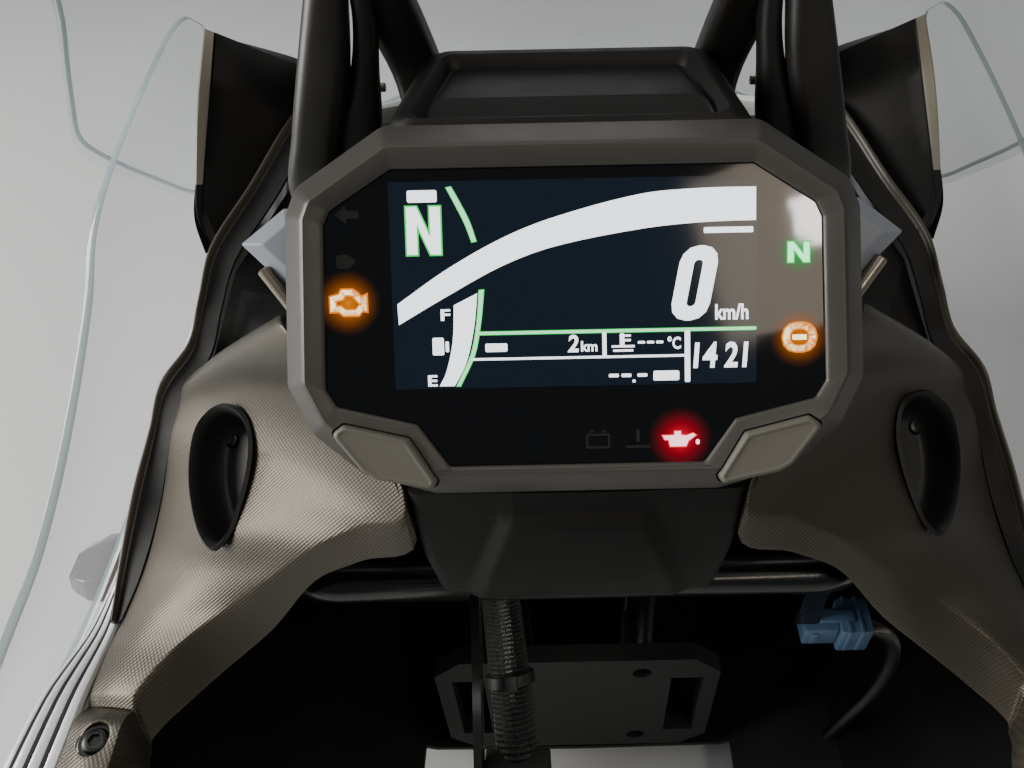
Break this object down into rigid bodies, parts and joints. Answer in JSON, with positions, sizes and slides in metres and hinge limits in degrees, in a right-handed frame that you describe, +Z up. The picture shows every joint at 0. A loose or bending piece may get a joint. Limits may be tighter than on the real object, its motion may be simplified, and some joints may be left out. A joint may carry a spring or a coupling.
{
  "type": "motorcycle cockpit and front fairing module",
  "caption": "Cockpit of an adventure motorcycle: display, grained inner panels, headlamp nose, stay, and a clear windscreen that slides up.",
  "frame": {"origin": "centre of the rear face of the stay's mounting plate, which bolts to the steering head", "axes": "+Y forward along the motorcycle, +X to the rider's right, +Z up"},
  "size_m": [0.494, 0.4416, 0.5548],
  "materials": {
    "stay_black": "gloss black coat on steel tube",
    "bezel_charcoal": "fine moulded texture",
    "window_clear": "polished clear window",
    "display_black": "dark display behind the window",
    "case_black": "satin black moulding",
    "button_rubber": "matt grey rubber",
    "lug_grey": "satin pale grey",
    "panel_grained": "diagonal mesh grain",
    "trim_gloss": "gloss black",
    "paint_pearl": "pearl paint under clear coat",
    "lens_clear": "clear lens",
    "lamp_body": "dark reflector body",
    "acrylic_clear": "polished clear sheet",
    "bracket_black": "satin black",
    "knob_black": "ribbed black grip",
    "signal_black": "satin black",
    "plug_black": "moulded plug",
    "loom_braid": "braided sleeve",
    "connector_blue": "moulded blue plastic",
    "cable_black": "smooth black sleeve"
  },
  "bodies": {
    "fairing": {"stay_frame": "stay_black", "instrument_hoop": "stay_black", "meter_bracket": "stay_black", "meter_bezel": "bezel_charcoal", "meter_window": "window_clear", "display_module": "display_black", "meter_rear_case": "case_black", "meter_hood": "case_black", "lower_cover": "case_black", "dash_liner": "case_black", "under_cover": "case_black", "panel_end_left": "case_black", "panel_end_right": "case_black", "meter_button_left": "button_rubber", "meter_button_right": "button_rubber", "meter_lug_left": "lug_grey", "meter_lug_right": "lug_grey", "inner_panel_left": "panel_grained", "inner_panel_right": "panel_grained", "rim_trim_left": "trim_gloss", "rim_trim_right": "trim_gloss", "side_cowl_left": "paint_pearl", "side_cowl_right": "paint_pearl", "nose_cowl": "paint_pearl", "headlamp_lens_left": "lens_clear", "headlamp_lens_right": "lens_clear", "turn_lens_left": "lens_clear", "turn_lens_right": "lens_clear", "headlamp_left": "lamp_body", "headlamp_right": "lamp_body", "deflector_left": "acrylic_clear", "deflector_right": "acrylic_clear", "deflector_bracket_left": "bracket_black", "deflector_bracket_right": "bracket_black", "screen_stay_left": "bracket_black", "screen_stay_right": "bracket_black", "turn_signal_left": "signal_black", "turn_signal_right": "signal_black", "meter_plug": "plug_black", "loom_plug": "plug_black", "instrument_loom": "loom_braid", "side_connector": "connector_blue", "connector_cable": "cable_black"},
    "screen": {"windscreen": "acrylic_clear", "screen_carrier": "bracket_black", "screen_knob_left": "knob_black", "screen_knob_right": "knob_black"}
  },
  "joints": [
    {"name": "screen_slide", "type": "slide", "parent": "fairing", "child": "screen", "axis": [0, -0.6157, 0.788], "range_m": [0, 0.06]}
  ]
}
